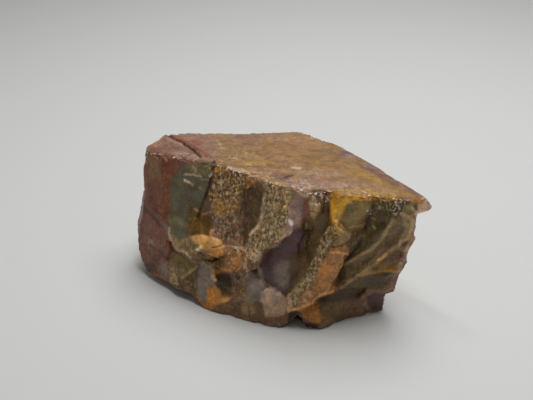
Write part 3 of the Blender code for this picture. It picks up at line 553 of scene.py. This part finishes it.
LINES = {
    "top crack": ([(169, 136), (182, 142), (192, 149), (201, 157)], 2.2, WINE_DARK, 0.9, 0.0),
    "red beside the crack": ([(174, 135), (188, 143), (199, 151), (208, 156)],
        2.6, TOP_RED, 0.8, 0.1),
    "pale curl": ([(217, 140), (220, 144), (222, 149)], 1.8, CREAM, 0.8, 0.0),
    "orange streak": ([(238, 165), (250, 162), (262, 161), (274, 163)], 2.4, TOP_YELLOW, 0.85, 0.0),
    # Painted glint on the top.
    "glint on the top": ([(292, 168), (301, 168)], 1.8, GLINT_WHITE, 0.9, 0.0),
    "wine streak": ([(286, 177), (292, 175)], 2.2, RED_BROWN, 0.8, 0.0),
    # Painted glints along the rim.
    "glint streak along the rim": ([(310, 186), (328, 187.5)], 1.6, CREAM, 0.8, 0.2),
    "sandy streak": ([(228, 158), (240, 158), (250, 165)], 2.4, TOP_SAND, 0.5, 0.8),
    # Painted glint line on the rim.
    "glint line on the rim": ([(252, 172), (262, 173), (271, 173)], 1.6, CREAM, 0.6, 0.5),
    "sandy spot": ([(300, 147), (306, 150), (308, 153)], 3.0, TOP_SAND, 0.6, 0.2),
    "yellow streak": ([(244, 152), (256, 156), (266, 161)], 1.6, TOP_YELLOW, 0.6, 0.2),
    "red rim edge": ([(150, 152), (165, 155), (184, 160), (196, 162)], 2.2, TOP_RED, 0.8, 0.3),
    "rim glint": ([(176, 156), (182, 159)], 2.0, CREAM, 0.8, 0.3),
    "small rim glint": ([(164, 157), (167, 160)], 1.6, CREAM, 0.6, 0.3),
    "wine line": ([(143, 206), (150, 214), (157, 221), (160, 226)], 2.4, WINE_DARK, 0.8, 0.0),
    "low wine line": ([(151, 246), (160, 252), (168, 259)], 2.0, WINE_DARK, 0.7, 0.0),
    "dark left edge": ([(145, 204), (143, 222), (139, 240)], 2.2, WINE_DARK, 0.6, 0.1),
    "crack": ([(214.5, 162), (211.5, 177), (208, 190), (204, 200), (201, 208), (198.5, 217)],
        2.6, BLACK_BROWN, 0.95, 0.0),
    "first hair": ([(186, 174), (193, 175), (201, 176.5)], 1.7, CREAM, 0.8, 0.6),
    "second hair": ([(185, 180), (190, 183), (193, 185)], 1.8, CREAM, 0.8, 0.5),
    "third hair": ([(194, 166), (196, 170), (195, 174)], 1.6, SAND_PALE, 0.7, 0.6),
    "fourth hair": ([(199, 187), (205, 191)], 1.6, TAN, 0.7, 0.3),
    "fifth hair": ([(201, 179.5), (209, 180)], 1.0, SAND, 0.7, 0.2),
    "pale dot": ([(195, 209), (198, 211)], 1.9, SAND, 0.8, 0.4),
    "tan line": ([(186, 223), (191, 220), (196, 218)], 1.6, OLIVE_PALE, 0.7, 0.2),
    "tan dash": ([(203, 214.5), (208, 212.5), (212, 212)], 1.4, SAND, 0.8, 0.2),
    "orange dash": ([(210, 236), (211, 231), (213, 229)], 1.8, ORANGE, 0.7, 0.3),
    # Painted highlights on the rim.
    "first rim highlight": ([(229, 167), (236, 169), (239, 171)], 2.2, GLINT_WHITE, 0.85, 0.6),
    "second rim highlight": ([(242, 170), (249, 173)], 2.2, GLINT_WHITE, 0.85, 0.5),
    "sandy dash": ([(218, 179), (224, 182), (227, 185)], 1.7, SAND_PALE, 0.7, 0.9),
    "sandy upright": ([(223, 224), (226, 228), (224, 233)], 1.8, SAND_PALE, 0.6, 0.9),
    "gold line": ([(238, 189), (237, 183), (241, 178)], 1.3, ORANGE_PALE, 0.6, 0.6),
    "slab left lip": ([(265, 194), (263, 208), (261.5, 220), (255, 229), (250, 235)],
        2.6, CREAM, 0.85, 0.8),
    "slab right lip": ([(291, 231), (284, 236), (277, 244), (268, 247)],
        3.0, PINK_PALE, 0.85, 0.4),
    "slab top edge": ([(264, 182), (274, 183), (284, 185)], 1.6, CREAM, 0.7, 0.7),
    "lens glint": ([(289, 220), (291, 224)], 2.4, GLINT_GREY, 0.85, 0.0),
    # Painted highlights on the stripe.
    "first highlight on the stripe": ([(321, 196), (323, 197)], 1.5, SAND_PALE, 0.8, 0.2),
    "second highlight on the stripe": ([(327, 197), (328, 200)], 1.4, CREAM, 0.8, 0.2),
    "orange stripe fleck": ([(319, 205), (320, 211)], 1.5, ORANGE, 0.7, 0.2),
    "gold scar fleck": ([(309.5, 225), (310, 229)], 1.6, OCHRE, 0.8, 0.2),
    "grey scar fleck": ([(306, 224), (306, 228)], 1.6, GREY_PALE, 0.7, 0.3),
    # Painted glint on the pale facet.
    "glint on the pale facet": ([(263, 292), (266, 290)], 2.0, GLINT_GREY, 0.7, 0.1),
    "pink facet lip": ([(289, 296), (290, 303), (288, 309)], 2.6, PINK_PALE, 0.85, 0.4),
    "facet link": ([(293, 294), (300, 290)], 2.4, SAND, 0.8, 0.5),
    "foot joint": ([(249, 306), (249, 318)], 1.4, UMBER, 0.7, 0.0),
    "pane lip upright": ([(340, 213), (336, 220)], 1.8, CREAM, 0.7, 0.8),
    "pane lip": ([(351, 227), (358, 226), (365, 224.5)], 1.6, SAND, 0.85, 0.2),
    "channel fleck": ([(371, 218), (375, 219)], 1.6, OCHRE, 0.8, 0.1),
    "second channel fleck": ([(373, 226), (374.5, 228)], 1.6, SAND, 0.8, 0.1),
    # Painted highlight along the flake's top.
    "highlight on the flake top": ([(330, 252), (338, 252), (347, 254)], 2.0, ORANGE_PALE, 0.85, 0.2),
    "flake low lip": ([(288, 311), (300, 308), (312, 303), (320, 295), (333, 291.5)],
        2.0, ORANGE_PALE, 0.85, 0.3),
    "flake shade": ([(333, 247), (341, 246), (349, 241)], 1.6, BROWN_DARK, 0.8, 0.0),
    "channel shade": ([(344, 264), (350, 255), (358, 247), (361, 240)], 2.4, BLACK_BROWN, 0.9, 0.0),
    "channel edge shade": ([(366, 228), (369, 219), (372, 208)], 2.4, BLACK_BROWN, 0.8, 0.0),
    "first ridge": ([(393, 220), (386, 232), (380, 241), (373, 248), (365, 253), (352, 260), (346, 264)],
        2.6, TAN, 0.85, 0.1),
    "second ridge": ([(400, 244), (392, 249), (384, 256), (378, 261)], 2.4, TAN, 0.8, 0.1),
    "second ridge glint": ([(378, 261), (386, 255)], 2.0, ORANGE_PALE, 0.9, 0.1),
    "third ridge": ([(378, 262), (368, 268), (360, 275), (350, 281), (342, 288)],
        2.4, TAN, 0.85, 0.3),
    "fourth ridge": ([(360, 276), (370, 273), (382, 271), (400, 271)], 2.0, OCHRE, 0.85, 0.1),
    "notch ridge": ([(401, 214), (408, 217), (413, 221), (411, 231), (408, 238), (400, 243)],
        3.0, SAND, 0.9, 0.2),
    "tip edge": ([(412, 208), (416, 214), (417, 220)], 2.4, SAND_PALE, 0.7, 0.2),
    # Painted highlight flecks under the rim.
    "first highlight fleck under the rim": ([(396, 202), (397, 205)], 1.4, CREAM, 0.8, 0.2),
    "second highlight fleck under the rim": ([(399, 207), (400, 209)], 1.2, GLINT_WHITE, 0.8, 0.2),
    "wine corner lip": ([(363, 296), (365, 304), (370, 312)], 2.6, BROWN_PALE, 0.8, 0.1),
    "olive lip": ([(182, 278), (187, 274.5), (192, 270), (197, 266)], 2.0, SAND, 0.85, 0.1),
    "shell lip": ([(169, 228), (170, 238), (173, 244), (177, 250), (185, 252), (191, 257.5)],
        1.7, SAND_PALE, 0.9, 0.2),
    "shell shade": ([(203, 260), (214, 261), (224, 256)], 1.8, BLACK_BROWN, 0.85, 0.0),
    "crest shade": ([(213, 247), (218, 247), (223, 244)], 1.6, BROWN_DARK, 0.85, 0.0),
    "crest glint": ([(197, 250), (201, 247)], 2.2, GLINT_WHITE, 0.8, 0.1),
    "shell fold": ([(192, 251), (186, 243)], 1.6, SAND, 0.6, 0.2),
    "lump nick": ([(232, 248), (236, 251)], 2.0, BLACK_BROWN, 0.9, 0.0),
    "lump top lip": ([(233, 247), (240, 247), (246, 251)], 2.0, CREAM, 0.8, 0.6),
    "ledge lip": ([(214, 274), (222, 269.5), (231, 270)], 2.4, ORANGE, 0.9, 0.2),
    "ledge end": ([(213, 276), (215, 280)], 2.4, SAND_PALE, 0.85, 0.3),
    "orange facet lip": ([(223, 300.5), (228, 299)], 2.6, ORANGE_PALE, 0.85, 0.0),
    "orange facet side": ([(212, 290), (213, 295)], 1.8, ORANGE_PALE, 0.7, 0.1),
    "sandy fleck": ([(240, 284), (241, 292)], 1.6, SAND, 0.7, 0.4),
    "sandy upright edge": ([(244, 264), (247, 272), (245, 280)], 2.0, SAND_PALE, 0.7, 0.7),
    "low facet lip": ([(198, 297), (203, 306), (211, 311)], 1.8, ORANGE, 0.8, 0.1),
    "rose facet lip": ([(202, 262), (208, 266), (214, 272)], 1.6, SAND, 0.8, 0.2),
    "sugar edge fleck": ([(170, 280), (172, 281)], 1.8, CREAM, 0.7, 0.6),
}


def to_linear(rgb):
    c = np.array(rgb, float) / 255
    return np.where(c <= 0.04045, c / 12.92, ((c + 0.055) / 1.055) ** 2.4)


def painted(at, broken):
    """Colour, as the camera sees it, and sugar of each point from the strokes. broken is where
    lines on sugary stone are broken up."""
    colour = np.tile(to_linear(PLAIN), (len(at), 1))
    sugar = np.zeros(len(at))
    for strokes, cover in ((AREAS, area), (LINES, stroke)):
        for shape, soft, rgb, strength, rough in strokes.values():
            xs, ys = zip(*shape)
            reach = soft + 3
            near = (at[:, 0] > min(xs) - reach) & (at[:, 0] < max(xs) + reach)
            near &= (at[:, 1] > min(ys) - reach) & (at[:, 1] < max(ys) + reach)
            part = strength * cover(at[near], shape, soft)
            if cover is stroke:
                part *= 1 - 0.8 * rough * broken[near]
            colour[near] += part[:, None] * (to_linear(rgb) - colour[near])
            sugar[near] += part * (rough - sugar[near])
    return colour, sugar


def body_colour(points):
    """Colours of the sides out of view: leaning bands like those in front, brown, olive and wine."""
    bend = 4 * ripple(points, 18, 1) + 1.5 * ripple(points, 6, 2) + 0.35 * points[:, 2]
    bent = points + bend[:, None] * (1, 1, 0)
    band = ripple(bent, 9, 3, (1, 1, 3.5)) + 0.4 * ripple(bent, 3.5, 4, (1, 1, 3))
    band += 0.25 * ripple(bent, 1.8, 8)
    red = ripple(bent, 15, 5, (1, 1, 2)) + 0.2 * ripple(bent, 3, 9)
    light_patch = ripple(bent, 6, 6, (1, 1, 2)) + 0.2 * ripple(bent, 2, 10)
    brown, olive, ochre = to_linear(BROWN), to_linear(OLIVE), to_linear(CARAMEL)
    wine, pale = to_linear(WINE), to_linear(TAN)
    colour = olive + eased(0.5 + 1.1 * band)[:, None] * (brown - olive)
    colour += eased((band - 0.15) / 0.4)[:, None] * 0.7 * (ochre - colour)
    colour += eased((red - 0.1) / 0.35)[:, None] * 0.7 * (wine - colour)
    colour += eased((light_patch - 0.3) / 0.3)[:, None] * 0.5 * (pale - colour)
    sugar = eased((ripple(bent, 11, 7, (1, 1, 2.5)) - 0.1) / 0.3)
    return colour, sugar * 0.7


# The copy of the block


stone_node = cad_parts["petrified_wood"]
low, high = (np.array(corner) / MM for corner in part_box("petrified_wood"))
points, faces = welded(stone_node)
edges, sharp = crease_edges(points, faces, CREASE_ANGLE)
marked = np.sort(edges[sharp, 0] * BIG + edges[sharp, 1])
points, faces, marked = refined(points, faces, marked, spacing)
points = relaxed(points, faces, marked, 10, 0.5)
normals = point_normals(points, faces)

facing = EYE - points
facing /= np.linalg.norm(facing, axis=1, keepdims=True)
looked_at = (facing * normals).sum(axis=1)
# How much each point belongs to the flat top, and how much of it the camera sees.
top = eased((normals[:, 2] - 0.45) / 0.3) * eased((points[:, 2] - 42) / 4)
seen = eased(looked_at / 0.25) * (1 - eased((points[:, 1] - BACK_EDGE) / 4) * (1 - top))

# The strokes' edges are made to wander a little, and their seen colours freed of the light on the front
# and the top; the shade and highlights painted in the strokes stay.
at = seen_at(points)
at = at + 0.9 * np.stack([ripple(points, 2.2, 11), ripple(points, 2.2, 12)], 1)
at = at + 0.5 * np.stack([ripple(points, 0.9, 13), ripple(points, 0.9, 14)], 1)
broken = eased(0.5 + 2.5 * ripple(points, 0.9, 15))
colour, sugar = painted(at, broken)
# Sides that face left are taken to get more light, so their colour is made darker.
light = FRONT_LIGHT * (1 + 0.3 * np.clip(-normals[:, 0], 0, 1))
sheen = FRONT_SHEEN + top * (TOP_SHEEN - FRONT_SHEEN)
colour = (colour - sheen[:, None]) / (light + top * (TOP_LIGHT - light))[:, None]
side_colour, side_sugar = body_colour(points)
colour = side_colour / FRONT_LIGHT + seen[:, None] * (colour - side_colour / FRONT_LIGHT)
sugar = side_sugar + seen * (sugar - side_sugar)

# How close the worn rim of the top is: 1 on it, and 0 from RIM_REACH away.
high_crease = np.unique(np.concatenate([marked // BIG, marked % BIG]))
high_crease = high_crease[(points[high_crease, 2] > 43) & (normals[high_crease, 2] < 0.9)]
close = points[:, 2] > 40
rim = np.zeros(len(points))
away = np.array([found[2] for found in nearest(points[high_crease], points[close])])
rim[close] = eased(1 - away / RIM_REACH)

# Relief in mm along the normals: soft waves, chips of three sizes, sugary grain, and a rim
# with small pieces gone from it.
side = 1 - top
lift = 0.10 * ripple(points, 3.0, 21)
lift += side * 0.16 * chips(points, 3.4, 5) * (0.35 + sugar)
lift += side * (1 - seen) * 0.45 * chips(points, 7, 10, (1, 1, 1.6))
lift += side * 0.20 * chips(points, 1.5, 6) * np.clip(sugar + 0.15, 0, 1)
lift += sugar * (0.20 * ripple(points, 0.85, 23) + 0.14 * ripple(points, 1.5, 24))
lift += top * 0.05 * ripple(points, 1.3, 25)
lift -= rim * 0.5 * np.clip(chips(points, 2.6, 8) + 0.15, 0, 1)
lift -= rim * 0.3 * np.clip(chips(points, 1.3, 9), 0, 1)
# Where painted glints lie, as pale specks: in patches along the rim, and on sugary stone.
glint = rim * eased(0.5 + 1.6 * ripple(points, 5.0, 31)) + 0.35 * sugar
points = points + lift[:, None] * normals
points = np.clip(points, low, high)

mesh = bpy.data.meshes.new("petrified_wood_surface")
mesh.from_pydata((points * MM).tolist(), [], faces.tolist())
mesh.update()
tint = mesh.attributes.new("tint", "FLOAT_COLOR", "POINT")
with_alpha = np.concatenate([np.clip(colour, 0.004, 0.9), np.ones((len(points), 1))], 1)
tint.data.foreach_set("color", with_alpha.ravel())
for name, values in (("sugar", sugar), ("split", top), ("glint", glint)):
    made = mesh.attributes.new(name, "FLOAT", "POINT")
    made.data.foreach_set("value", values)
mesh.shade_smooth()
stone = bpy.data.objects.new("petrified_wood_surface", mesh)
bpy.context.scene.collection.objects.link(stone)


# Materials


def stone_material():
    made = bpy.data.materials.new("petrified_wood_stone")
    made.use_nodes = True
    tree = made.node_tree
    link = tree.links.new
    surface = tree.nodes["Principled BSDF"]

    def attribute(name):
        found = tree.nodes.new("ShaderNodeAttribute")
        found.attribute_name = name
        return found

    def noise_of(scale, detail, roughness, stretch):
        place = tree.nodes.new("ShaderNodeMapping")
        place.inputs["Scale"].default_value = stretch
        link(where.outputs["Object"], place.inputs["Vector"])
        made = tree.nodes.new("ShaderNodeTexNoise")
        made.inputs["Scale"].default_value = scale
        made.inputs["Detail"].default_value = detail
        made.inputs["Roughness"].default_value = roughness
        link(place.outputs["Vector"], made.inputs["Vector"])
        return made.outputs["Fac"]

    def spread(value, low_in, high_in, low_out, high_out):
        made = tree.nodes.new("ShaderNodeMapRange")
        made.interpolation_type = "SMOOTHSTEP"
        for k, v in enumerate((low_in, high_in, low_out, high_out)):
            made.inputs[k + 1].default_value = v
        link(value, made.inputs["Value"])
        return made.outputs["Result"]

    def maths(kind, a, b):
        made = tree.nodes.new("ShaderNodeMath")
        made.operation = kind
        for k, v in enumerate((a, b)):
            if isinstance(v, (int, float)):
                made.inputs[k].default_value = v
            else:
                link(v, made.inputs[k])
        return made.outputs[0]

    def mixed(kind, share, a, b):
        made = tree.nodes.new("ShaderNodeMix")
        made.data_type = "RGBA"
        made.blend_type = kind
        made.clamp_result = False
        for socket, v in ((made.inputs[0], share), (made.inputs[6], a), (made.inputs[7], b)):
            if isinstance(v, (int, float, tuple)):
                socket.default_value = v
            else:
                link(v, socket)
        return made.outputs[2]

    where = tree.nodes.new("ShaderNodeTexCoord")
    tint, sugar, split, glint = (attribute(name) for name in ("tint", "sugar", "split", "glint"))
    fine = noise_of(1500, 3, 0.6, (1, 1, 1))
    grain = noise_of(850, 3, 0.65, (1.15, 1.15, 0.8))
    flecks = noise_of(1000, 2, 0.6, (1, 1, 1))
    cloud = noise_of(300, 4, 0.6, (1, 1, 1))
    other = noise_of(420, 3, 0.6, (1, 1, 0.8))
    streak = noise_of(900, 3, 0.55, (0.3, 1, 1))

    colour = tint.outputs["Color"]
    colour = mixed("MULTIPLY", 1.0, colour, spread(cloud, 0.3, 0.7, 0.74, 1.26))
    rough_part = maths("ADD", maths("MULTIPLY", sugar.outputs["Fac"], 0.7), 0.3)
    warm = maths("MULTIPLY", rough_part, spread(other, 0.52, 0.68, 0.0, 0.6))
    colour = mixed("MULTIPLY", warm, colour, (1.5, 1.12, 0.6, 1))
    cool = maths("MULTIPLY", rough_part, spread(other, 0.48, 0.34, 0.0, 0.6))
    colour = mixed("MULTIPLY", cool, colour, (0.68, 0.74, 0.9, 1))
    colour = mixed("MULTIPLY", 1.0, colour, spread(fine, 0.3, 0.7, 0.82, 1.2))
    streaked = maths("MULTIPLY", split.outputs["Fac"], spread(streak, 0.35, 0.65, -0.09, 0.09))
    colour = mixed("MULTIPLY", 1.0, colour, maths("ADD", streaked, 1.0))
    dark = maths("MULTIPLY", sugar.outputs["Fac"], spread(grain, 0.49, 0.36, 0.0, 1.0))
    colour = mixed("MULTIPLY", dark, colour, (0.28, 0.24, 0.21, 1))
    pale = maths("MULTIPLY", sugar.outputs["Fac"], spread(grain, 0.54, 0.65, 0.0, 0.9))
    colour = mixed("MIX", pale, colour, (0.88, 0.66, 0.42, 1))
    # Painted glints: pale specks laid into the colour where the glint attribute is high.
    sparkle = maths("MULTIPLY", glint.outputs["Fac"], spread(flecks, 0.53, 0.62, 0.0, 0.9))
    colour = mixed("MIX", sparkle, colour, (0.9, 0.76, 0.58, 1))
    link(colour, surface.inputs["Base Color"])

    rough_sugar = maths("MULTIPLY", sugar.outputs["Fac"], 0.1)
    rough = maths("ADD", spread(cloud, 0.3, 0.7, 0.3, 0.46), rough_sugar)
    link(rough, surface.inputs["Roughness"])
    surface.inputs["Specular IOR Level"].default_value = 0.3
    surface.inputs["Coat Weight"].default_value = 0.06
    surface.inputs["Coat Roughness"].default_value = 0.2

    sugar_height = maths("MULTIPLY", maths("MULTIPLY", grain, sugar.outputs["Fac"]), 0.9)
    streak_height = maths("MULTIPLY", maths("MULTIPLY", streak, split.outputs["Fac"]), 0.5)
    height = maths("ADD", maths("MULTIPLY", fine, 0.35), sugar_height)
    height = maths("ADD", height, streak_height)
    bump = tree.nodes.new("ShaderNodeBump")
    bump.inputs["Strength"].default_value = 0.7
    bump.inputs["Distance"].default_value = 0.0006
    link(height, bump.inputs["Height"])
    link(bump.outputs["Normal"], surface.inputs["Normal"])
    return made


mesh.materials.append(stone_material())
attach(stone, "root")
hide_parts("petrified_wood")


# Floor, light and camera


def sweep():
    """A floor that curves up behind into a wall."""
    profile = [(-2.0, 0.0)] + [(0.1 + 0.05 * k, 0.0) for k in range(5)]
    turn, radius = (0.50, 0.0), 0.14
    profile += [
        (turn[0] + radius * math.sin(a), radius * (1 - math.cos(a)))
        for a in np.radians(np.arange(0, 91, 6))
    ]
    profile.append((turn[0] + radius, 1.2))
    verts = [(x, y, z - 0.00005) for y, z in profile for x in (-1.6, 1.6)]
    quads = [(2 * k, 2 * k + 1, 2 * k + 3, 2 * k + 2) for k in range(len(profile) - 1)]
    made = bpy.data.meshes.new("floor")
    made.from_pydata(verts, [], quads)
    made.shade_smooth()
    obj = bpy.data.objects.new("floor", made)
    bpy.context.scene.collection.objects.link(obj)
    paper = bpy.data.materials.new("floor_paper")
    paper.use_nodes = True
    face = paper.node_tree.nodes["Principled BSDF"]
    face.inputs["Base Color"].default_value = (0.66, 0.665, 0.655, 1)
    face.inputs["Roughness"].default_value = 0.7
    face.inputs["Specular IOR Level"].default_value = 0.2
    made.materials.append(paper)
    return obj


def soft_light(name, at, aim, size, power, colour=(1, 1, 1)):
    data = bpy.data.lights.new(name, "AREA")
    data.shape = "RECTANGLE"
    data.size, data.size_y = size
    data.energy = power
    data.color = colour
    obj = bpy.data.objects.new(name, data)
    bpy.context.scene.collection.objects.link(obj)
    obj.location = at
    obj.rotation_euler = (Vector(aim) - Vector(at)).to_track_quat("-Z", "Y").to_euler()
    return obj


sweep()
soft_light("overhead", (0.12, 0.14, 0.58), (0.03, 0.10, 0), (0.50, 0.32), 2.6)
soft_light("strip", (-0.03, -0.03, 0.50), (0, 0, 0.03), (0.4, 0.03), 0.55)
world = bpy.data.worlds.new("room")
bpy.context.scene.world = world
world.use_nodes = True
world.node_tree.nodes["Background"].inputs["Color"].default_value = (1, 0.98, 0.95, 1)
world.node_tree.nodes["Background"].inputs["Strength"].default_value = 0.16

lens = bpy.data.cameras.new("camera")
lens.lens = LENS
lens.sensor_width = SENSOR
lens.clip_start = 0.01
camera = bpy.data.objects.new("camera", lens)
bpy.context.scene.collection.objects.link(camera)
camera.location = EYE * MM
camera.rotation_euler = (math.pi / 2 - TILT_DOWN, 0, 0)
bpy.context.scene.camera = camera
bpy.context.scene.view_settings.view_transform = "Standard"

print("stone", len(points), "points", len(faces), "triangles")
bpy.context.view_layer.update()
